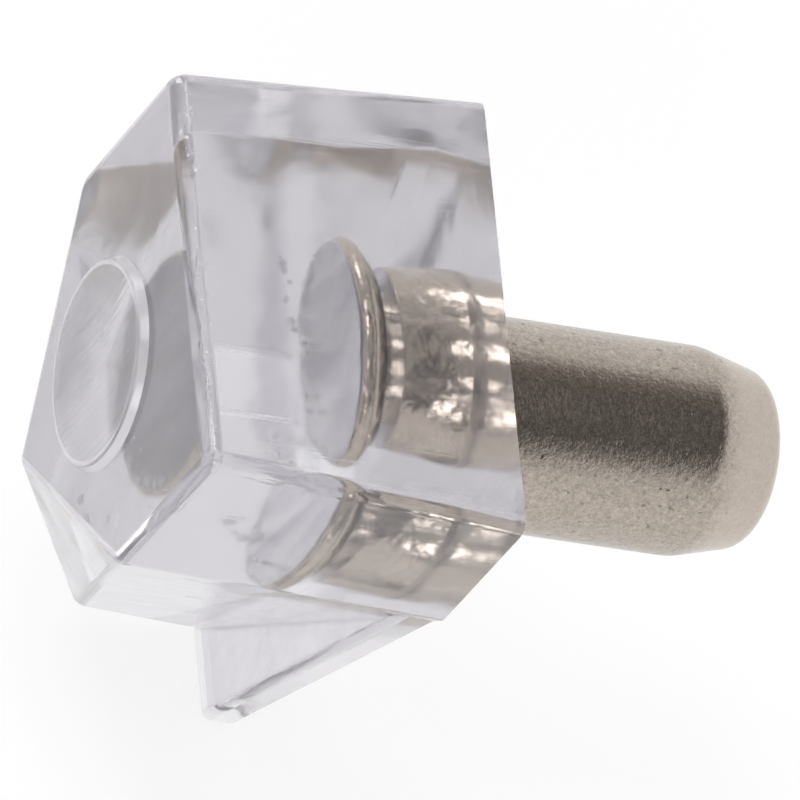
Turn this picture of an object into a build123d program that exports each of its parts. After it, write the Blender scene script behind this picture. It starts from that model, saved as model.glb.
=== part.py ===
"""Shelf support pin: a clear moulded head on a turned steel pin.

Millimetres. The origin is on the pin's axis, in the plane of the cabinet wall. +X runs along the pin,
into the wall, and +Z is up, so the head lies at negative X with its flat shelf seat on top.
"""
import os

from build123d import *

os.makedirs("parts", exist_ok=True)

# Steel pin: the straight part and the tapered tip that go into the wall
pin_diameter = 5.0
pin_straight = 6.9
tip_length = 1.75
tip_diameter = 4.1
tip_round = 0.6

# Steel pin: the part moulded into the head. Its root tapers from the wall plane forward to the groove.
root_length = 1.9
root_neck_diameter = 4.6
groove_length = 0.5
groove_diameter = 3.4
flange_length = 0.75
flange_diameter = 5.8
flange_land = 0.4
flange_back_diameter = 4.9
flange_chamfer = 0.15

# Clear head: a five-sided block that tapers toward its front face
head_depth = 8.0
seat_height = 4.9
wall_width = 11.5
front_width = 10.45
shoulder_height = 0.36
keel_depth = 11.4
keel_rise = 0.65
edge_radius = 0.4

# Clear head: the two sloping facets under its nose
nose_drop = 4.8
nose_run = 4.25

# Clear head: the wall plate that carries on down behind the keel
plate_thickness = 0.8
plate_depth = 11.0
plate_foot_width = 5.3
plate_inset = 0.12
plate_radius = 0.25

# Clear head: the low round disc on its front face
disc_height = 0.22
disc_diameter = 5.08
disc_top_diameter = 4.86
disc_round = 0.06

# Gap that the plastic leaves around the steel as it shrinks, and the overrun of a cut
mould_gap = 0.02
overrun = 1.0

pin_radius = pin_diameter / 2
root_neck_radius = root_neck_diameter / 2
groove_radius = groove_diameter / 2
flange_radius = flange_diameter / 2
flange_back_radius = flange_back_diameter / 2
tip_radius = tip_diameter / 2
pin_end = pin_straight + tip_length
groove_back = -root_length
flange_back = groove_back - groove_length
flange_front = flange_back - flange_length


def pin_root(gap):
    """Outline of the moulded-in end of the pin, from its axis to the wall plane, grown by a gap."""
    return [
        (flange_front - gap, 0),
        (flange_front - gap, flange_radius - flange_chamfer),
        (flange_front + flange_chamfer, flange_radius + gap),
        (flange_front + flange_land, flange_radius + gap),
        (flange_back + gap, flange_back_radius + gap),
        (flange_back + gap, groove_radius + gap),
        (groove_back - gap, groove_radius + gap),
        (groove_back - gap, root_neck_radius + gap),
        (0, pin_radius + gap),
    ]


with BuildPart() as steel_pin:
    with BuildSketch(Plane.XZ):
        with BuildLine():
            turned = Polyline(*pin_root(0), (pin_straight, pin_radius), (pin_end, tip_radius), (pin_end, 0))
            Line(turned @ 1, turned @ 0)
        make_face()
    revolve(axis=Axis.X)
    tip_edge = steel_pin.edges().filter_by(GeomType.CIRCLE).sort_by(Axis.X)[-1]
    fillet(tip_edge, radius=tip_round)
steel_pin.part.label = "steel_pin"

# Corners of the head's +Y half. Its lower flank stays flat: the front edge runs parallel to the wall edge.
wall_half = wall_width / 2
front_half = front_width / 2
flank_slope = (shoulder_height + keel_depth) / wall_half
front_shoulder_height = flank_slope * front_half - (keel_depth - keel_rise)
foot_x = nose_run - head_depth
foot_depth = keel_depth + keel_rise * foot_x / head_depth

wall_top = Vector(0, wall_half, seat_height)
wall_shoulder = Vector(0, wall_half, shoulder_height)
wall_keel = Vector(0, 0, -keel_depth)
front_shoulder = Vector(-head_depth, front_half, front_shoulder_height)
nose_apex = Vector(-head_depth, 0, -nose_drop)
nose_foot = Vector(foot_x, 0, -foot_depth)


def facet(first, second, third):
    """The plane through three corners that run clockwise as seen from outside the head."""
    return Plane(first, x_dir=second - first, z_dir=(third - first).cross(second - first))


side_wall = facet(wall_top, front_shoulder, wall_shoulder)
lower_flank = facet(wall_shoulder, front_shoulder, wall_keel)
nose_facet = facet(front_shoulder, nose_apex, nose_foot)

with BuildPart() as wall_plate:
    with BuildSketch(Plane.YZ):
        with BuildLine():
            half = Polyline(
                (0, shoulder_height),
                (wall_half - plate_inset, shoulder_height),
                (plate_foot_width / 2, -plate_depth),
                (0, -plate_depth),
            )
            mirror(half, about=Plane.YZ)
        make_face()
    extrude(amount=-plate_thickness)
    plate_back = wall_plate.faces().sort_by(Axis.X)[-1]
    plate_top = wall_plate.faces().sort_by(Axis.Z)[-1]
    fillet(wall_plate.edges() - plate_back.edges() - plate_top.edges(), radius=plate_radius)

with BuildPart() as clear_head:
    with BuildSketch(Plane.YZ):
        with BuildLine():
            Polyline(
                (0, seat_height),
                (wall_half, seat_height),
                (wall_half, shoulder_height),
                (0, -keel_depth),
                close=True,
            )
        make_face()
    extrude(amount=-head_depth)
    for outer_plane in (side_wall, lower_flank, nose_facet):
        split(bisect_by=outer_plane, keep=Keep.BOTTOM)
    mirror(about=Plane.XZ)
    wall_face = clear_head.faces().sort_by(Axis.X)[-1]
    fillet(clear_head.edges() - wall_face.edges(), radius=edge_radius)
    add(wall_plate.part)

    # Low round disc on the front face, in line with the pin, sunk into the face by its own height
    disc_front = -head_depth - disc_height
    disc_back = -head_depth + disc_height
    with BuildSketch(Plane.XZ):
        with BuildLine():
            disc = Polyline(
                (disc_front, 0),
                (disc_front, disc_top_diameter / 2),
                (-head_depth, disc_diameter / 2),
                (disc_back, disc_diameter / 2),
                (disc_back, 0),
            )
            Line(disc @ 1, disc @ 0)
        make_face()
    revolve(axis=Axis.X)
    disc_edge = clear_head.edges().filter_by(GeomType.CIRCLE).sort_by(Axis.X)[0]
    fillet(disc_edge, radius=disc_round)

    # Pocket moulded around the flange, the groove and the root of the pin
    with BuildSketch(Plane.XZ):
        with BuildLine():
            pocket = Polyline(*pin_root(mould_gap), (overrun, pin_radius + mould_gap), (overrun, 0))
            Line(pocket @ 1, pocket @ 0)
        make_face()
    revolve(axis=Axis.X, mode=Mode.SUBTRACT)
clear_head.part.label = "clear_head"

export_step(clear_head.part, "parts/clear_head.step")
export_step(steel_pin.part, "parts/steel_pin.step")
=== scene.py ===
import math

import bmesh
import bpy
from mathutils import Matrix, Vector


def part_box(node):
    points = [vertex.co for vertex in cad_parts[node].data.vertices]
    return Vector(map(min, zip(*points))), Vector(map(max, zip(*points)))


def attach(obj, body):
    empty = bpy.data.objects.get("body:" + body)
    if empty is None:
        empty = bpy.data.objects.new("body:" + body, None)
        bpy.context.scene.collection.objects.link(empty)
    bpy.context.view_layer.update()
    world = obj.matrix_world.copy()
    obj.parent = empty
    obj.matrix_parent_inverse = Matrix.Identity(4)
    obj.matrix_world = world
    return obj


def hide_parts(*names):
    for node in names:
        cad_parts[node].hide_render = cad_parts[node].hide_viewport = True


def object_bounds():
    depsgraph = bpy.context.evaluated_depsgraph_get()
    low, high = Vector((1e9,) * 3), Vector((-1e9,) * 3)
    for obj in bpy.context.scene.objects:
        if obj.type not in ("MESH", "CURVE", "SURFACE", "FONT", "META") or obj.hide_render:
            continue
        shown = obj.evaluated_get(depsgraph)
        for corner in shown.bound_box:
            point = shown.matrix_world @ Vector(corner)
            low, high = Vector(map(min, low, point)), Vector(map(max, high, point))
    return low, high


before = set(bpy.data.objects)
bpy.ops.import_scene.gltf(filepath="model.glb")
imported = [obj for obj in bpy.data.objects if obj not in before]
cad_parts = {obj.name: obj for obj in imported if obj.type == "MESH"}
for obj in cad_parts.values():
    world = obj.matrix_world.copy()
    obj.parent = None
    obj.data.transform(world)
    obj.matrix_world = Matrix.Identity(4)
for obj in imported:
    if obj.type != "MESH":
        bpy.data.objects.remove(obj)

bl_info = {
    "name": "Shelf Support Pin",
    "version": (1, 0, 0),
    "blender": (4, 5, 0),
    "location": "View3D > Sidebar > Shelf Pin",
    "description": "Builds a clear moulded shelf support on a turned steel pin, with a studio stage",
    "category": "Object",
}

CAD_LOW, CAD_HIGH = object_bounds()
HEAD_LOW, HEAD_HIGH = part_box("clear_head")
PIN_LOW, PIN_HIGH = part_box("steel_pin")

BLACK = (0.0, 0.0, 0.0, 1.0)
WHITE = (1.0, 1.0, 1.0, 1.0)

# Steps around the disc on the front face, and from the middle of its dished face to its lip
DISC_SIDES = 96
DISH_STEPS = 8

# Steps across the rounded edges of the head, its wall plate, a turned outline, its tip and its flange
EDGE_STEPS = 12
PLATE_STEPS = 8
ARC_STEPS = 8
TIP_STEPS = 10
FLANGE_STEPS = 6

# Times that the ball of a bubble is divided
BALL_STEPS = 3

# How strongly large faces hold their normals beside small ones: 50 is even
FACE_WEIGHT = 100

# Points closer than WELD are one point and points within ON_AXIS lie on the axis, in metres. Faces that turn
# by less than FLAT are one face, in radians, and edges over SHARP are shaded sharp, in degrees.
WELD = 1e-7
ON_AXIS = 1e-8
FLAT = 0.002
SHARP = 12

# Flow lines across the front of the shelf seat: place across it and half width, in metres
FLOW_LINES = ((-0.00210, 0.00014), (-0.00380, 0.00009))

# Places in metres where the flow lines fade in along the seat, and where the near front corner, painted paler
# as painted light, begins along and across it
LINES_FADE = (-0.0056, -0.0060)
LIT_CORNER_ALONG = (-0.0054, -0.0058)
LIT_CORNER_ACROSS = (-0.0020, -0.0022)

# How far the free part of the wall plate is painted paler as painted light, as a share of the way to the
# palest tint
FIN_LIGHT_SHARE = 0.4

# Hairline scratches: their two directions, as turns in radians, and their fineness by direction
SCRATCH_TURNS = ((0.4, 0.2, 0.7), (1.1, -0.5, 1.9))
SCRATCH_SCALE = (250.0, 10000.0, 10000.0)

# How far back the beads reach along the front edge, as a share of its radius
BEAD_SHARE = 1.5

# How white the milky plastic is at least, and how much its clouds add
MILK_LEAST = 0.1
MILK_CLOUDS = 0.4

# Fineness by direction of the tool marks on the disc and of the streaks before the flange
MARK_SCALE = (1.0, 7000.0, 350.0)
STREAK_SCALE = (0.0, 1100.0, 260.0)

# Crumbled foot before the flange, in shares of its radius: where it fades in outward and how far down
FOOT_SHARES = (0.78, 0.92)
FOOT_DROP_SHARE = 0.4

# How much of the skin before the flange mirrors at least, and how much the streaks add
MIRROR_LEAST = 0.4
MIRROR_STREAKS = 0.5

# Lengths over which the plating changes into the head and onto the rubbed tip, in metres
SEAL_FADE = 0.0002
RUB_FADE = 0.0006

# Colour that full wear multiplies the plating by, how much less wear and grain show inside the head and on
# the rubbed tip, and how much the finest specks add to the grain
WORN_SHADE = (0.45, 0.45, 0.45, 1.0)
SEALED_WEAR = 0.5
RUBBED_WEAR = 0.6
SEALED_GRAIN = 0.85
RUBBED_GRAIN = 0.3
SPECK_GRAIN = 0.3

# Roughness of the bare plating, and how much smoother it is inside the head
BARE_ROUGHNESS = 0.22
SEALED_SMOOTHING = 0.05

# Air bubbles before the flange: across, up and radius, in metres
BUBBLES = (
    (0.00307, -0.00284, 0.00015),
    (0.00330, -0.00295, 0.00008),
    (0.00285, -0.00262, 0.00009),
    (0.00241, -0.00218, 0.00008),
    (0.00217, -0.00271, 0.00008),
    (0.00146, -0.00237, 0.00014),
    (0.00120, -0.00222, 0.00008),
    (0.00070, -0.00161, 0.00013),
    (0.00040, -0.00148, 0.00008),
    (-0.00065, -0.00194, 0.00008),
    (-0.00115, -0.00161, 0.00007),
    (-0.00193, -0.00363, 0.00008),
    (-0.00078, -0.00488, 0.00015),
    (-0.00139, -0.00470, 0.00014),
)

# Softboxes: name, direction from the object, width in metres and power in watts
SOFTBOXES = (
    ("back_softbox", (-0.41, 0.87, 0.29), 0.10, 0.16),
    ("top_softbox", (-0.41, 0.19, 0.89), 0.10, 0.16),
    ("front_softbox", (-0.41, -0.81, 0.41), 0.10, 0.16),
)

# Floor: from its middle to its edges in metres, its glow, and how much of what is seen of it glows
FLOOR_REACH = 0.4
FLOOR_GLOW = 1.12
FLOOR_SHARE = 0.7

# Room light: the direction that counts as up, which leans over the front of the head. The stops are places
# from 0 to 1: from the near side to the far side, and from the floor to the top.
ROOM_UP = (-0.755, 0.0, 0.655)
FAR_STOPS = (0.6, 0.8, 0.95)
CEILING_STOPS = (0.64, 0.72)
UPPER_STOPS = (0.48, 0.56)

# Camera: its three axes, and how far its middle lies to the right of the pin's root and below it, in metres
CAMERA_RIGHT = Vector((0.9028, -0.08508, 0.42156))
CAMERA_DOWN = Vector((0.13619, -0.87322, -0.46789))
CAMERA_AWAY = Vector((0.40793, 0.47983, -0.77676))
CAMERA_ASIDE = (-0.000360, -0.000256)

# Lens: width of the sensor in millimetres, and the nearest and farthest that it shows, in metres
SENSOR_WIDTH = 36.0
CLIP_START = 0.01
CLIP_END = 10.0


def length(label, description, default):
    """A length in metres that a user can change."""
    return bpy.props.FloatProperty(
        name=label,
        description=description,
        default=default,
        min=0.0,
        precision=5,
        subtype="DISTANCE",
        unit="LENGTH",
    )


def number(label, description, default):
    """A plain number that a user can change."""
    return bpy.props.FloatProperty(name=label, description=description, default=default, min=0.0)


def colour(label, description, default):
    """A linear colour that a user can change."""
    return bpy.props.FloatVectorProperty(
        name=label,
        description=description,
        default=default,
        size=4,
        min=0.0,
        max=1.0,
        subtype="COLOR",
    )


class ClearHeadSettings(bpy.types.PropertyGroup):
    """Sizes and finish of the clear moulded head."""

    depth: length("Depth", "From the front face to the wall", 0.008)
    seat_height: length("Seat Height", "From the pin's axis up to the shelf seat", HEAD_HIGH.z)
    wall_width: length("Wall Width", "Width where the head meets the wall", HEAD_HIGH.y - HEAD_LOW.y)
    front_width: length("Front Width", "Width of the front face", 0.01045)
    shoulder_height: length("Shoulder Height", "Foot of the side wall over the pin's axis", 0.00036)
    keel_depth: length("Keel Depth", "From the pin's axis down to the keel", 0.0114)
    keel_rise: length("Keel Rise", "How far the keel rises over the head's depth", 0.00065)
    nose_drop: length("Nose Drop", "From the pin's axis down to the nose", 0.0048)
    nose_run: length("Nose Run", "How far the nose facets run back", 0.00425)
    edge_round: length("Edge Round", "Radius of the moulded edges", 0.0004)
    plate_thickness: length("Plate Thickness", "Thickness of the wall plate", 0.0008)
    plate_depth: length("Plate Depth", "From the pin's axis down to the plate's foot", -HEAD_LOW.z)
    plate_foot_width: length("Plate Foot Width", "Width of the wall plate's foot", 0.0053)
    plate_inset: length("Plate Inset", "How far the plate stands in from the shoulder", 0.00012)
    plate_round: length("Plate Round", "Radius of the plate's edges", 0.00025)
    disc_front: length("Disc Front", "From the low round disc on the front face to the wall", -HEAD_LOW.x)
    disc_diameter: length("Disc Diameter", "Foot of the low round disc", 0.00508)
    disc_top_diameter: length("Disc Top Diameter", "Face of the low round disc", 0.00486)
    disc_round: length("Disc Round", "Radius of the disc's edge", 0.00012)
    dish_diameter: length("Dish Diameter", "Dished part of the disc's face", 0.0046)
    dish_depth: length("Dish Depth", "How far the middle of the disc's face is sunk", 0.00016)
    mould_gap: length("Mould Gap", "Gap that the plastic leaves around the steel", 0.00002)
    bubble_gap: length("Bubble Gap", "From the flange to the middles of the bubbles before it", 0.0002)
    tint: colour("Tint", "Colour of the clear plastic", (0.70, 0.685, 0.725, 1.0))
    # Front tint is painted shade: a darker plastic colour on the front face and the disc's face
    front_shade_tint: colour("Front Tint", "Colour of the duller front face", (0.53, 0.518, 0.555, 1.0))
    # Pale tint is painted light: a paler plastic colour on the seat's near front corner and the wall plate's
    # free part
    painted_light_tint: colour("Pale Tint", "Colour of the clearest plastic", (0.97, 0.955, 1.0, 1.0))
    frost: colour("Frost", "Colour of the rough white spots", (0.90, 0.89, 0.92, 1.0))
    refraction: number("Refraction", "Refractive index of the plastic", 1.49)


class SteelPinSettings(bpy.types.PropertyGroup):
    """Sizes and finish of the turned steel pin."""

    diameter: length("Diameter", "Diameter of the bare pin", 0.005)
    straight: length("Straight Length", "Straight part from the wall to the tip", 0.0069)
    end: length("End", "From the wall to the pin's end", PIN_HIGH.x)
    tip_diameter: length("Tip Diameter", "Diameter that the tip tapers to", 0.0041)
    tip_round: length("Tip Round", "Radius of the pin's end edge", 0.0006)
    shoulder_round: length("Shoulder Round", "Radius where the tip starts", 0.0015)
    root_length: length("Root Length", "Tapered root inside the head", 0.0019)
    root_neck_diameter: length("Root Neck Diameter", "Root where it meets the groove", 0.0046)
    groove_length: length("Groove Length", "Groove that locks the pin in the head", 0.0005)
    groove_diameter: length("Groove Diameter", "Diameter of the groove", 0.0034)
    flange_length: length("Flange Length", "Thickness of the flange", 0.00075)
    flange_diameter: length("Flange Diameter", "Diameter of the flange", PIN_HIGH.y - PIN_LOW.y)
    flange_land: length("Flange Land", "Front part of the flange's rim", 0.0004)
    flange_back_diameter: length("Flange Back Diameter", "Diameter that the flange tapers to", 0.0049)
    flange_edge: length("Flange Edge", "Rounded front edge of the flange", 0.00025)
    flange_round: length("Flange Round", "Radius where the flange's rim turns in", 0.00025)
    plating: colour("Plating", "Colour of the bare nickel plating", (0.60, 0.53, 0.46, 1.0))
    sealed: colour("Sealed Plating", "Colour of the plating inside the head", (0.72, 0.64, 0.535, 1.0))
    sides: bpy.props.IntProperty(name="Sides", description="Steps around the pin", default=160, min=12)


class StageSettings(bpy.types.PropertyGroup):
    """Floor, light and camera."""

    floor: colour("Floor", "Colour of the pale floor", (0.86, 0.86, 0.87, 1.0))
    bright: colour("Bright Room", "White table and soft ceiling around the object", (0.95, 0.945, 0.945, 1.0))
    ceiling: colour("Ceiling", "Softly lit ceiling before the object", (0.5, 0.49, 0.48, 1.0))
    dim: colour("Dim Room", "Dark part of the room overhead", (0.02, 0.016, 0.014, 1.0))
    dusk: colour("Dusk", "Half-lit part of the room toward the back", (0.14, 0.12, 0.105, 1.0))
    lamp_distance: length("Lamp Distance", "From the softboxes to the object", 0.25)
    distance: length("Camera Distance", "From the camera to the pin's root", 0.4)
    frame_width: length("Frame Width", "Width of the picture at the pin's root", 0.018658)


class Wire:
    """One output socket. Arithmetic on it adds Math nodes to its tree."""

    def __init__(self, board, socket):
        self.board = board
        self.socket = socket

    def _math(self, operation, first, second):
        return self.board.node("ShaderNodeMath", {"operation": operation}, {0: first, 1: second})

    def __add__(self, other):
        return self._math("ADD", self, other)

    __radd__ = __add__

    def __sub__(self, other):
        return self._math("SUBTRACT", self, other)

    def __rsub__(self, other):
        return self._math("SUBTRACT", other, self)

    def __mul__(self, other):
        return self._math("MULTIPLY", self, other)

    __rmul__ = __mul__

    def __or__(self, other):
        return self._math("MAXIMUM", self, other)

    def __abs__(self):
        return self.board.node("ShaderNodeMath", {"operation": "ABSOLUTE"}, {0: self})

    def beside(self, name):
        """Another output of the same node."""
        return Wire(self.board, self.socket.node.outputs[name])


class Board:
    """A node tree, with one method that adds any node to it."""

    def __init__(self, tree):
        self.tree = tree

    def node(self, kind, settings=None, inputs=None, output=0):
        """Adds a node, sets it up, fills or links its sockets and gives one of its outputs."""
        made = self.tree.nodes.new(kind)
        for name, value in (settings or {}).items():
            if name == "stops":
                ramp = made.color_ramp
                while len(ramp.elements) < len(value):
                    ramp.elements.new(1.0)
                for element, (place, shade) in zip(ramp.elements, value):
                    element.position = place
                    element.color = shade
            else:
                setattr(made, name, value)
        for name, value in (inputs or {}).items():
            socket = made.inputs[name]
            if isinstance(value, Wire):
                self.tree.links.new(value.socket, socket)
            else:
                socket.default_value = value
        return Wire(self, made.outputs[output]) if made.outputs else made


def new_material(name):
    """An empty material and the board of its node tree."""
    material = bpy.data.materials.new(name)
    material.use_nodes = True
    material.node_tree.nodes.clear()
    return material, Board(material.node_tree)


def plastic_surface(board, head, relief, tint):
    """The clear plastic itself, under a relief that bends its normals."""
    return board.node(
        "ShaderNodeBsdfPrincipled",
        inputs={
            "Base Color": tint,
            "Roughness": 0.12,
            "IOR": head.refraction,
            "Transmission Weight": 0.92,
            "Normal": relief,
        },
    )


def frosted_surface(board, head, relief):
    """The same plastic where the mould left it rough and white."""
    return board.node(
        "ShaderNodeBsdfPrincipled",
        inputs={
            "Base Color": head.frost,
            "Roughness": 0.45,
            "IOR": head.refraction,
            "Transmission Weight": 0.5,
            "Normal": relief,
        },
    )


def ramped(board, value, low, high):
    """A value brought to 0 at one place and 1 at another, and held there."""
    return board.node(
        "ShaderNodeMapRange",
        {"clamp": True},
        {"Value": value, "From Min": low, "From Max": high, "To Min": 0.0, "To Max": 1.0},
    )


def shown(board, surface):
    """Makes a shader the surface of its material."""
    board.node("ShaderNodeOutputMaterial", inputs={"Surface": surface})


def mixed(board, factor, first, second):
    """Two shaders mixed by a factor."""
    return board.node("ShaderNodeMixShader", inputs={0: factor, 1: first, 2: second})


def blended(board, factor, first, second, blend="MIX"):
    """Two colours mixed by a factor."""
    return board.node(
        "ShaderNodeMix",
        {"data_type": "RGBA", "blend_type": blend},
        {"Factor": factor, "A": first, "B": second},
        output="Result",
    )


def noise(board, place, scale, detail, roughness=0.5):
    """A cloudy pattern over a surface."""
    return board.node(
        "ShaderNodeTexNoise",
        inputs={"Vector": place, "Scale": scale, "Detail": detail, "Roughness": roughness},
    )


def stretched(board, place, scale, turn=(0.0, 0.0, 0.0)):
    """A place on a surface, scaled by direction and turned."""
    return board.node("ShaderNodeMapping", inputs={"Vector": place, "Rotation": turn, "Scale": scale})


def bump(board, height, strength, distance, under=None):
    """Normals bent by a height, over those of another bump if there is one."""
    inputs = {"Strength": strength, "Distance": distance, "Height": height}
    if under is not None:
        inputs["Normal"] = under
    return board.node("ShaderNodeBump", inputs=inputs)


def fading_line(board, value, middle, half):
    """A line across a surface: 1 where a value meets its middle, falling to 0 over half its width."""
    return board.node(
        "ShaderNodeMapRange",
        {"clamp": True, "interpolation_type": "SMOOTHSTEP"},
        {"Value": abs(value - middle), "From Min": 0.0, "From Max": half, "To Min": 1.0, "To Max": 0.0},
    )


def hairlines(board, place, turn):
    """Sparse fine scratches, about 40 times as long as they are wide, along one direction."""
    fine = noise(board, stretched(board, place, SCRATCH_SCALE, turn), scale=1.0, detail=1.0)
    return ramped(board, fine, low=0.66, high=0.74)


def moulded_plastic(head):
    """Outer faces: faint flow waves, hairline scratches and, at the front of the seat, two flow lines beside
    a corner with painted light, a paler tint. The front face has painted shade, a darker tint, and the free
    part of the wall plate has painted light, a paler tint."""
    material, board = new_material("moulded_plastic")
    place = board.node("ShaderNodeTexCoord", output="Object")
    along = board.node("ShaderNodeSeparateXYZ", inputs={0: place}, output="X")
    across = along.beside("Y")
    up = along.beside("Z")
    on_seat = ramped(board, up, head.seat_height - head.edge_round, head.seat_height)
    first_line, second_line = [fading_line(board, across, *line) for line in FLOW_LINES]
    lines = (first_line + second_line) * on_seat * ramped(board, along, *LINES_FADE)
    first_scratches, second_scratches = [hairlines(board, place, turn) for turn in SCRATCH_TURNS]
    waves = noise(board, place, scale=420.0, detail=2.0, roughness=0.4)
    wavy = bump(board, waves, strength=0.12, distance=0.0006)
    lined = bump(board, lines, strength=0.6, distance=0.00004, under=wavy)
    scuffed = bump(board, first_scratches + second_scratches, strength=0.2, distance=0.000006, under=lined)

    # The front face gets a darker tint here, as painted shade
    front = ramped(board, along, head.edge_round - head.depth, head.edge_round / 2 - head.depth)
    # The seat's near front corner and the wall plate's free part get a paler tint, as painted light
    corner = ramped(board, across, *LIT_CORNER_ACROSS) * ramped(board, along, *LIT_CORNER_ALONG) * on_seat
    flank_slope = (head.shoulder_height + head.keel_depth) / (head.wall_width / 2)
    beyond_flank = abs(across) * flank_slope - up
    lit_fin = ramped(board, beyond_flank, head.keel_depth, head.keel_depth + head.plate_inset)
    front_shaded = blended(board, front, head.tint, head.front_shade_tint)
    tint = blended(board, corner | FIN_LIGHT_SHARE * lit_fin, front_shaded, head.painted_light_tint)
    shown(board, plastic_surface(board, head, scuffed, tint))
    return material


def edge_plastic(head):
    """Rounded edges: smooth, but for small white beads where the mould parts, along the front of the seat."""
    material, board = new_material("edge_plastic")
    place = board.node("ShaderNodeTexCoord", output="Object")
    along = board.node("ShaderNodeSeparateXYZ", inputs={0: place}, output="X")
    up = along.beside("Z")
    radius = head.edge_round
    at_front = ramped(board, along, radius * BEAD_SHARE - head.depth, radius - head.depth)
    on_seat = ramped(board, up, head.seat_height - radius / 2, head.seat_height - radius / 8)
    parting = at_front * on_seat
    grain = noise(board, place, scale=4200.0, detail=2.0)
    beads = ramped(board, grain, low=0.62, high=0.72) * parting
    relief = bump(board, grain * parting, strength=0.2, distance=0.00008)
    clear = plastic_surface(board, head, relief, head.tint)
    shown(board, mixed(board, beads, clear, frosted_surface(board, head, relief)))
    return material


def rim_plastic(head):
    """Milky plastic: the rim of the disc, frosted by the mould's insert, and the skins of the bubbles."""
    material, board = new_material("rim_plastic")
    place = board.node("ShaderNodeTexCoord", output="Object")
    clouds = noise(board, place, scale=900.0, detail=0.0)
    relief = bump(board, clouds, strength=0.05, distance=0.0001)
    clear = plastic_surface(board, head, relief, head.tint)
    frosted = frosted_surface(board, head, relief)
    shown(board, mixed(board, MILK_LEAST + MILK_CLOUDS * clouds, clear, frosted))
    return material


def disc_plastic(head):
    """Face of the round disc: fine upright tool marks across it and faint rings about its axis."""
    material, board = new_material("disc_plastic")
    place = board.node("ShaderNodeTexCoord", output="Object")
    rings = board.node(
        "ShaderNodeTexWave",
        {"wave_type": "RINGS", "rings_direction": "X"},
        {"Vector": place, "Scale": 14000.0, "Distortion": 3.0, "Detail": 2.0, "Detail Scale": 0.3},
    )
    marks = noise(board, stretched(board, place, MARK_SCALE), scale=1.0, detail=2.0)
    ringed = bump(board, rings, strength=0.15, distance=0.00001)
    relief = bump(board, marks, strength=0.3, distance=0.00003, under=ringed)
    # The disc's face takes the front face's darker tint, as painted shade
    shown(board, plastic_surface(board, head, relief, head.front_shade_tint))
    return material


def pocket_plastic(head, pin):
    """Skin that shrank off the steel: it mirrors the head in upright streaks, with a crumbled white edge at
    the foot of the flange."""
    material, board = new_material("pocket_plastic")
    place = board.node("ShaderNodeTexCoord", output="Object")
    up = board.node("ShaderNodeSeparateXYZ", inputs={0: place}, output="Z")
    streaks = noise(board, stretched(board, place, STREAK_SCALE), scale=1.0, detail=1.0)
    crumbs = noise(board, place, scale=2600.0, detail=2.0)
    facing = board.node("ShaderNodeVectorMath", {"operation": "MULTIPLY"}, {0: place, 1: (0.0, 1.0, 1.0)})
    away = board.node("ShaderNodeVectorMath", {"operation": "LENGTH"}, {0: facing}, output="Value")
    radius = pin.flange_diameter / 2
    outward = ramped(board, away, *[share * radius for share in FOOT_SHARES])
    foot = outward * ramped(board, up, 0.0, -FOOT_DROP_SHARE * radius)
    crumbled = ramped(board, crumbs, low=0.5, high=0.6) * foot
    mirroring = MIRROR_LEAST + MIRROR_STREAKS * ramped(board, streaks, low=0.35, high=0.7)
    smooth = bump(board, streaks, strength=0.06, distance=0.0004)
    relief = bump(board, crumbs * foot, strength=0.7, distance=0.0002, under=smooth)
    # The mirror takes the front face's shade-darkened tint as its colour
    mirror = board.node(
        "ShaderNodeBsdfPrincipled",
        inputs={"Base Color": head.front_shade_tint, "Metallic": 1.0, "Roughness": 0.3, "Normal": relief},
    )
    skin = mixed(board, mirroring, plastic_surface(board, head, relief, head.tint), mirror)
    shown(board, mixed(board, crumbled, skin, frosted_surface(board, head, relief)))
    return material


def nickel_plating(pin):
    """Satin nickel over turned steel: pitted on the bare pin, rubbed at its tip, blotched inside the head."""
    material, board = new_material("nickel_plating")
    place = board.node("ShaderNodeTexCoord", output="Object")
    along = board.node("ShaderNodeSeparateXYZ", inputs={0: place}, output="X")
    inside = ramped(board, along, 0.0, -SEAL_FADE)
    rubbed = ramped(board, along, pin.straight, pin.straight + RUB_FADE)
    specks = noise(board, place, scale=16000.0, detail=2.0, roughness=0.7)
    grains = noise(board, place, scale=6000.0, detail=4.0, roughness=0.65)
    patches = noise(board, place, scale=1100.0, detail=3.0)
    dents = noise(board, place, scale=3200.0, detail=2.0, roughness=0.6)
    pits = ramped(board, dents, low=0.68, high=0.76)
    kept = ramped(board, (specks + grains) * 0.5 - pits, low=0.3, high=0.7)
    wear = (1 - kept) * (1 - SEALED_WEAR * inside - RUBBED_WEAR * rubbed)
    fresh = blended(board, inside, pin.plating, pin.sealed)
    shade = blended(board, wear, fresh, WORN_SHADE, blend="MULTIPLY")
    pitted = (grains + SPECK_GRAIN * specks - pits) * (1 - SEALED_GRAIN * inside - RUBBED_GRAIN * rubbed)
    grain = bump(board, pitted, strength=0.28, distance=0.00004)
    blotched = bump(board, patches * inside, strength=0.45, distance=0.0002, under=grain)
    surface = board.node(
        "ShaderNodeBsdfPrincipled",
        inputs={
            "Base Color": shade,
            "Metallic": 1.0,
            "Roughness": BARE_ROUGHNESS - SEALED_SMOOTHING * inside,
            "Normal": blotched,
        },
    )
    shown(board, surface)
    return material


def mesh_object(name, mesh):
    """Links a mesh to the scene as an object at the origin."""
    made = bpy.data.objects.new(name, mesh)
    bpy.context.scene.collection.objects.link(made)
    return made


def from_bmesh(name, shape):
    """Turns a finished bmesh into an object."""
    mesh = bpy.data.meshes.new(name)
    shape.to_mesh(mesh)
    shape.free()
    return mesh_object(name, mesh)


def applied(made):
    """Gives an object the mesh that its modifiers make, and removes them."""
    view = bpy.context.evaluated_depsgraph_get()
    result = bpy.data.meshes.new_from_object(made.evaluated_get(view), depsgraph=view)
    made.modifiers.clear()
    made.data = result
    return made


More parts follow.
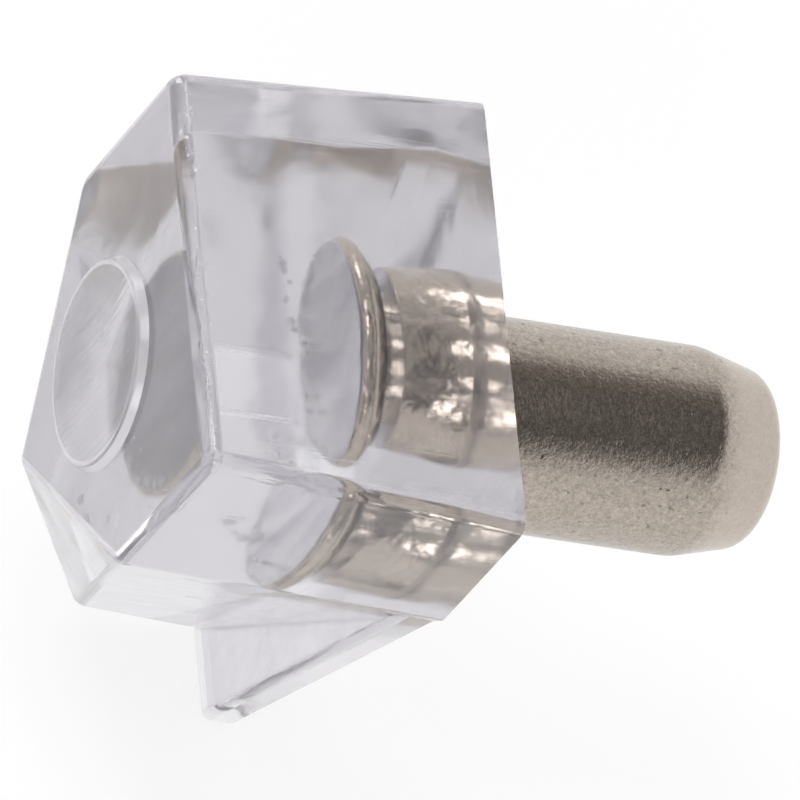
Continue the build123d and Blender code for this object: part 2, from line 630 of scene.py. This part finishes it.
def rounded(made, radius, steps, materials):
    """Rounds every edge that isn't in the plane of the wall to one radius, in the last material."""
    for material in materials:
        made.data.materials.append(material)
    shape = bmesh.new()
    shape.from_mesh(made.data)
    reach = {}
    for edge in shape.edges:
        at_wall = all(abs(vert.co.x) < WELD for vert in edge.verts)
        reach[edge.index] = 0.0 if at_wall else radius * math.tan(edge.calc_face_angle() / 2)
    shape.free()
    widest = max(reach.values())
    weights = made.data.attributes.new("bevel_weight_edge", "FLOAT", "EDGE")
    for index, value in reach.items():
        weights.data[index].value = value / widest
    bevel = made.modifiers.new("Edges", "BEVEL")
    bevel.limit_method = "WEIGHT"
    bevel.offset_type = "OFFSET"
    bevel.width = widest
    bevel.segments = steps
    bevel.material = len(materials) - 1
    bevel.use_clamp_overlap = False
    return applied(made)


def hull(name, corners):
    """A solid with flat faces around a set of corners."""
    shape = bmesh.new()
    for corner in corners:
        shape.verts.new(corner)
    bmesh.ops.convex_hull(shape, input=shape.verts)
    bmesh.ops.dissolve_limit(shape, angle_limit=FLAT, verts=shape.verts, edges=shape.edges)
    bmesh.ops.recalc_face_normals(shape, faces=shape.faces)
    return from_bmesh(name, shape)


def head_block(head):
    """The head's faceted block, sharp: the corners are those of the CAD solid."""
    wall_half = head.wall_width / 2
    front_half = head.front_width / 2
    slope = (head.shoulder_height + head.keel_depth) / wall_half
    front_shoulder = slope * front_half - (head.keel_depth - head.keel_rise)
    foot_x = head.nose_run - head.depth
    foot_z = -(head.keel_depth + head.keel_rise * foot_x / head.depth)
    corners = [(0, 0, -head.keel_depth), (-head.depth, 0, -head.nose_drop), (foot_x, 0, foot_z)]
    for side in (-1, 1):
        corners += [
            (0, side * wall_half, head.seat_height),
            (0, side * wall_half, head.shoulder_height),
            (-head.depth, side * front_half, head.seat_height),
            (-head.depth, side * front_half, front_shoulder),
        ]
    return hull("clear_head_block", corners)


def head_plate(head):
    """The thin wall plate that carries on down behind the keel."""
    top_half = head.wall_width / 2 - head.plate_inset
    foot_half = head.plate_foot_width / 2
    outline = [
        (-top_half, head.shoulder_height),
        (top_half, head.shoulder_height),
        (foot_half, -head.plate_depth),
        (-foot_half, -head.plate_depth),
    ]
    corners = [(x, y, z) for x in (0, -head.plate_thickness) for y, z in outline]
    return hull("clear_head_plate", corners)


def turned(name, outline, sides, material):
    """A solid turned about the X axis from an outline of (x, radius) points."""
    tree = bpy.data.node_groups.new(name + "_lathe", "GeometryNodeTree")
    tree.interface.new_socket("Profile", in_out="INPUT", socket_type="NodeSocketGeometry")
    steps = tree.interface.new_socket("Steps", in_out="INPUT", socket_type="NodeSocketInt")
    reach = tree.interface.new_socket("Reach", in_out="INPUT", socket_type="NodeSocketFloat")
    finish = tree.interface.new_socket("Finish", in_out="INPUT", socket_type="NodeSocketMaterial")
    tree.interface.new_socket("Turned", in_out="OUTPUT", socket_type="NodeSocketGeometry")
    board = Board(tree)
    profile = board.node("NodeGroupInput")
    path = board.node(
        "GeometryNodeCurvePrimitiveCircle",
        inputs={"Resolution": profile.beside("Steps"), "Radius": profile.beside("Reach")},
    )
    line = board.node("GeometryNodeMeshToCurve", inputs={"Mesh": profile})
    swept = board.node("GeometryNodeCurveToMesh", inputs={"Curve": path, "Profile Curve": line})
    upright = (0.0, -math.pi / 2, 0.0)
    stood = board.node("GeometryNodeTransform", inputs={"Geometry": swept, "Rotation": upright})
    closed = board.node("GeometryNodeMergeByDistance", inputs={"Geometry": stood, "Distance": WELD})
    plain = board.node("GeometryNodeRealizeInstances", inputs={"Geometry": closed})
    dressed = board.node(
        "GeometryNodeSetMaterial",
        inputs={"Geometry": plain, "Material": profile.beside("Finish")},
    )
    board.node("NodeGroupOutput", inputs={"Turned": dressed})

    mesh = bpy.data.meshes.new(name)
    largest = max(radius for x, radius in outline)
    points = [(radius - largest, x, 0.0) for x, radius in outline]
    mesh.from_pydata(points, [(i, i + 1) for i in range(len(points) - 1)], [])
    made = mesh_object(name, mesh)
    lathe = made.modifiers.new("Lathe", "NODES")
    lathe.node_group = tree
    lathe[steps.identifier] = sides
    lathe[reach.identifier] = largest
    lathe[finish.identifier] = material
    applied(made)
    shape = bmesh.new()
    shape.from_mesh(made.data)
    centres = [vert for vert in shape.verts if vert.co.yz.length < ON_AXIS]
    bmesh.ops.dissolve_verts(shape, verts=centres)
    bmesh.ops.recalc_face_normals(shape, faces=shape.faces)
    shape.to_mesh(made.data)
    shape.free()
    return made


def pin_root(pin):
    """Outline of the moulded-in end of the pin, from its axis to the wall."""
    groove_back = -pin.root_length
    flange_back = groove_back - pin.groove_length
    flange_front = flange_back - pin.flange_length
    centre = (flange_front, 0.0)
    edge = (flange_front, pin.flange_diameter / 2)
    land = (flange_front + pin.flange_land, pin.flange_diameter / 2)
    back = (flange_back, pin.flange_back_diameter / 2)
    outline = [centre]
    outline += eased(centre, edge, land, pin.flange_edge, FLANGE_STEPS)
    outline += eased(edge, land, back, pin.flange_round)
    outline += [
        back,
        (flange_back, pin.groove_diameter / 2),
        (groove_back, pin.groove_diameter / 2),
        (groove_back, pin.root_neck_diameter / 2),
        (0.0, pin.diameter / 2),
    ]
    return outline


def eased(before, corner, after, radius, steps=ARC_STEPS):
    """Points of an arc that rounds one corner of an outline of (x, radius) points."""
    corner = Vector(corner)
    back = (Vector(before) - corner).normalized()
    on = (Vector(after) - corner).normalized()
    half = back.angle(on) / 2
    middle = corner + (back + on).normalized() * (radius / math.sin(half))
    first = corner + back * (radius / math.tan(half)) - middle
    sweep = (math.pi - 2 * half) * (1 if first.x * on.y - first.y * on.x > 0 else -1)
    points = []
    for step in range(steps + 1):
        turn = Matrix.Rotation(sweep * step / steps, 2)
        points.append(tuple(middle + turn @ first))
    return points


def bubbles(x, material):
    """Small air bubbles caught in the plastic before the flange, one at each listed place."""
    tree = bpy.data.node_groups.new("bubbles", "GeometryNodeTree")
    tree.interface.new_socket("Places", in_out="INPUT", socket_type="NodeSocketGeometry")
    finish = tree.interface.new_socket("Finish", in_out="INPUT", socket_type="NodeSocketMaterial")
    tree.interface.new_socket("Bubbles", in_out="OUTPUT", socket_type="NodeSocketGeometry")
    board = Board(tree)
    places = board.node("NodeGroupInput")
    ball = board.node("GeometryNodeMeshIcoSphere", inputs={"Radius": 1.0, "Subdivisions": BALL_STEPS})
    swell = board.node("GeometryNodeInputNamedAttribute", {"data_type": "FLOAT"}, {"Name": "swell"})
    placed = board.node(
        "GeometryNodeInstanceOnPoints",
        inputs={"Points": places, "Instance": ball, "Scale": swell},
    )
    plain = board.node("GeometryNodeRealizeInstances", inputs={"Geometry": placed})
    dressed = board.node(
        "GeometryNodeSetMaterial",
        inputs={"Geometry": plain, "Material": places.beside("Finish")},
    )
    board.node("NodeGroupOutput", inputs={"Bubbles": dressed})

    mesh = bpy.data.meshes.new("bubbles")
    mesh.from_pydata([(x, y, z) for y, z, radius in BUBBLES], [], [])
    radii = mesh.attributes.new("swell", "FLOAT", "POINT")
    for index, (y, z, radius) in enumerate(BUBBLES):
        radii.data[index].value = radius
    made = mesh_object("bubbles", mesh)
    scatter = made.modifiers.new("Scatter", "NODES")
    scatter.node_group = tree
    scatter[finish.identifier] = material
    return applied(made)


def front_disc(head, rim, face):
    """The low round disc on the front face, sunk into it by its own height. Its dished face has a material of
    its own."""
    height = head.disc_front - head.depth
    lip = (-head.disc_front, head.dish_diameter / 2)
    edge = (-head.disc_front, head.disc_top_diameter / 2)
    foot = (-head.depth, head.disc_diameter / 2)
    outline = []
    for step in range(DISH_STEPS):
        share = step / DISH_STEPS
        outline.append((head.dish_depth * (1 - share * share) - head.disc_front, lip[1] * share))
    outline.append(lip)
    outline += eased(lip, edge, foot, head.disc_round)
    outline += [foot, (height - head.depth, foot[1]), (height - head.depth, 0.0)]
    made = turned("front_disc", outline, DISC_SIDES, rim)
    made.data.materials.append(face)
    for polygon in made.data.polygons:
        polygon.material_index = int(polygon.center.yz.length < lip[1])
    return made


def cut(made, tool, operation):
    """Joins or subtracts another solid, whose faces keep their own material, and removes it."""
    boolean = made.modifiers.new(operation.title(), "BOOLEAN")
    boolean.operation = operation
    boolean.solver = "EXACT"
    boolean.material_mode = "TRANSFER"
    boolean.object = tool
    applied(made)
    bpy.data.objects.remove(tool)


def smoothed(made):
    """Shades an object smooth, with flat faces kept flat and clear edges kept sharp."""
    made.data.shade_smooth()
    made.data.set_sharp_from_angle(angle=math.radians(SHARP))
    weighted = made.modifiers.new("Flat Faces", "WEIGHTED_NORMAL")
    weighted.mode = "FACE_AREA"
    weighted.weight = FACE_WEIGHT
    weighted.keep_sharp = True
    return applied(made)


class SHELFPIN_OT_steel_pin(bpy.types.Operator):
    """Turn the steel pin with its flange, groove and rounded tip"""

    bl_idname = "shelfpin.steel_pin"
    bl_label = "Steel Pin"

    def execute(self, context):
        pin = context.scene.shelfpin_pin
        shoulder = (pin.straight, pin.diameter / 2)
        tip = (pin.end, pin.tip_diameter / 2)
        end = (pin.end, 0.0)
        outline = pin_root(pin)
        outline += eased(outline[-1], shoulder, tip, pin.shoulder_round)
        outline += eased(shoulder, tip, end, pin.tip_round, TIP_STEPS)
        outline.append(end)
        made = turned("steel_pin_turned", outline, pin.sides, nickel_plating(pin))
        smoothed(made)
        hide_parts("steel_pin")
        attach(made, "root")
        return {"FINISHED"}


class SHELFPIN_OT_clear_head(bpy.types.Operator):
    """Mould the clear head around the pin"""

    bl_idname = "shelfpin.clear_head"
    bl_label = "Clear Head"

    def execute(self, context):
        head = context.scene.shelfpin_head
        pin = context.scene.shelfpin_pin
        plastic = moulded_plastic(head)
        edges = edge_plastic(head)
        made = rounded(head_block(head), head.edge_round, EDGE_STEPS, (plastic, edges))
        plate = rounded(head_plate(head), head.plate_round, PLATE_STEPS, (plastic, edges))
        cut(made, plate, "UNION")
        milky = rim_plastic(head)
        cut(made, front_disc(head, milky, disc_plastic(head)), "UNION")

        # Thin gaps where the plastic shrank off the flange's face and off the front step of the root
        root = -pin.root_length
        flange = root - pin.groove_length - pin.flange_length
        gap = head.mould_gap
        face = pin.flange_diameter / 2 - pin.flange_edge / 2
        inner = pin.groove_diameter / 2
        outer = pin.root_neck_diameter / 2 - gap
        before_flange = [(flange - gap, 0.0), (flange - gap, face), (flange + gap, face), (flange + gap, 0.0)]
        before_root = [
            (root - gap, inner),
            (root - gap, outer),
            (root + gap, outer),
            (root + gap, inner),
            (root - gap, inner),
        ]
        pocket = pocket_plastic(head, pin)
        cut(made, turned("flange_gap", before_flange, pin.sides, pocket), "DIFFERENCE")
        cut(made, turned("root_gap", before_root, pin.sides, pocket), "DIFFERENCE")
        cut(made, bubbles(flange - head.bubble_gap, milky), "DIFFERENCE")
        smoothed(made)
        made.name = "clear_head_moulded"
        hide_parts("clear_head")
        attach(made, "root")
        return {"FINISHED"}


class SHELFPIN_OT_stage(bpy.types.Operator):
    """Set up the floor, the room light and the camera"""

    bl_idname = "shelfpin.stage"
    bl_label = "Stage"

    def execute(self, context):
        stage = context.scene.shelfpin_stage
        self.floor(stage)
        self.room(stage)
        for name, aim, width, power in SOFTBOXES:
            self.softbox(name, Vector(aim), stage.lamp_distance, width, power)
        self.camera(context, stage)
        context.scene.view_settings.view_transform = "Standard"
        return {"FINISHED"}

    def floor(self, stage):
        """A pale floor that shows white to the eye and keeps the soft shadow."""
        material, board = new_material("pale_floor")
        seen = board.node("ShaderNodeLightPath", output="Is Camera Ray")
        seen = seen | seen.beside("Is Glossy Ray") | seen.beside("Is Transmission Ray")
        matt = board.node("ShaderNodeBsdfDiffuse", inputs={"Color": stage.floor})
        glow = board.node("ShaderNodeEmission", inputs={"Color": WHITE, "Strength": FLOOR_GLOW})
        shown(board, mixed(board, seen * FLOOR_SHARE, matt, glow))
        shape = bmesh.new()
        low = Matrix.Translation((0, 0, CAD_LOW.z))
        bmesh.ops.create_grid(shape, x_segments=1, y_segments=1, size=FLOOR_REACH, matrix=low)
        made = from_bmesh("floor", shape)
        made.data.materials.append(material)

    def room(self, stage):
        """A bright room, dim above the near side, with a soft ceiling over the front. It is seen white."""
        world = bpy.data.worlds.new("studio_room")
        bpy.context.scene.world = world
        world.use_nodes = True
        world.node_tree.nodes.clear()
        board = Board(world.node_tree)
        aim = board.node("ShaderNodeTexCoord", output="Generated")
        height = board.node(
            "ShaderNodeVectorMath",
            {"operation": "DOT_PRODUCT"},
            {0: aim, 1: ROOM_UP},
            output="Value",
        )
        far = board.node("ShaderNodeSeparateXYZ", inputs={0: aim}, output="Y")
        shadow = self.ramp(board, far, FAR_STOPS, (stage.dim, stage.dusk, stage.bright))
        ceiling = self.ramp(board, height, CEILING_STOPS, (BLACK, WHITE))
        overhead = self.ramp(board, height, UPPER_STOPS, (BLACK, WHITE))
        upper = blended(board, ceiling, shadow, stage.ceiling)
        shade = blended(board, overhead, stage.bright, upper)
        white = board.node("ShaderNodeBackground", inputs={"Color": WHITE})
        lit = board.node("ShaderNodeBackground", inputs={"Color": shade})
        seen = board.node("ShaderNodeLightPath", output="Is Camera Ray")
        board.node("ShaderNodeOutputWorld", inputs={"Surface": mixed(board, seen, lit, white)})

    def ramp(self, board, value, places, shades):
        """Colours over a value that runs from -1 to 1, each at its own place from 0 to 1."""
        stops = list(zip(places, shades))
        return board.node("ShaderNodeValToRGB", {"stops": stops}, {"Fac": value * 0.5 + 0.5})

    def softbox(self, name, aim, distance, width, power):
        """A square lamp that faces the object from one direction."""
        data = bpy.data.lights.new(name, "AREA")
        data.shape = "SQUARE"
        data.size = width
        data.energy = power
        made = bpy.data.objects.new(name, data)
        bpy.context.scene.collection.objects.link(made)
        made.location = aim.normalized() * distance
        made.rotation_euler = aim.to_track_quat("Z", "Y").to_euler()

    def camera(self, context, stage):
        """A long lens at the photograph's viewing angle."""
        data = bpy.data.cameras.new("camera")
        data.sensor_width = SENSOR_WIDTH
        data.lens = SENSOR_WIDTH * stage.distance / stage.frame_width
        data.clip_start = CLIP_START
        data.clip_end = CLIP_END
        made = bpy.data.objects.new("camera", data)
        context.scene.collection.objects.link(made)
        turn = Matrix((CAMERA_RIGHT, -CAMERA_DOWN, -CAMERA_AWAY)).transposed()
        aside = CAMERA_RIGHT * CAMERA_ASIDE[0] + CAMERA_DOWN * CAMERA_ASIDE[1]
        made.matrix_world = Matrix.Translation(aside - CAMERA_AWAY * stage.distance) @ turn.to_4x4()
        context.scene.camera = made


class SHELFPIN_PT_panel(bpy.types.Panel):
    """Lists the steps that build the shelf support"""

    bl_idname = "SHELFPIN_PT_panel"
    bl_label = "Shelf Support Pin"
    bl_space_type = "VIEW_3D"
    bl_region_type = "UI"
    bl_category = "Shelf Pin"

    def draw(self, context):
        for step in STEPS:
            self.layout.operator(step.bl_idname)


STEPS = (SHELFPIN_OT_steel_pin, SHELFPIN_OT_clear_head, SHELFPIN_OT_stage)
SETTINGS = {
    "shelfpin_head": ClearHeadSettings,
    "shelfpin_pin": SteelPinSettings,
    "shelfpin_stage": StageSettings,
}


def register():
    """Adds the settings, the steps and the panel to Blender."""
    for name, group in SETTINGS.items():
        bpy.utils.register_class(group)
        setattr(bpy.types.Scene, name, bpy.props.PointerProperty(type=group))
    for step in STEPS:
        bpy.utils.register_class(step)
    bpy.utils.register_class(SHELFPIN_PT_panel)


def unregister():
    """Takes the panel, the steps and the settings out again."""
    bpy.utils.unregister_class(SHELFPIN_PT_panel)
    for step in reversed(STEPS):
        bpy.utils.unregister_class(step)
    for name, group in SETTINGS.items():
        delattr(bpy.types.Scene, name)
        bpy.utils.unregister_class(group)


def main():
    """Builds the shelf support and its stage."""
    register()
    bpy.ops.shelfpin.steel_pin()
    bpy.ops.shelfpin.clear_head()
    bpy.ops.shelfpin.stage()


if __name__ == "__main__":
    main()
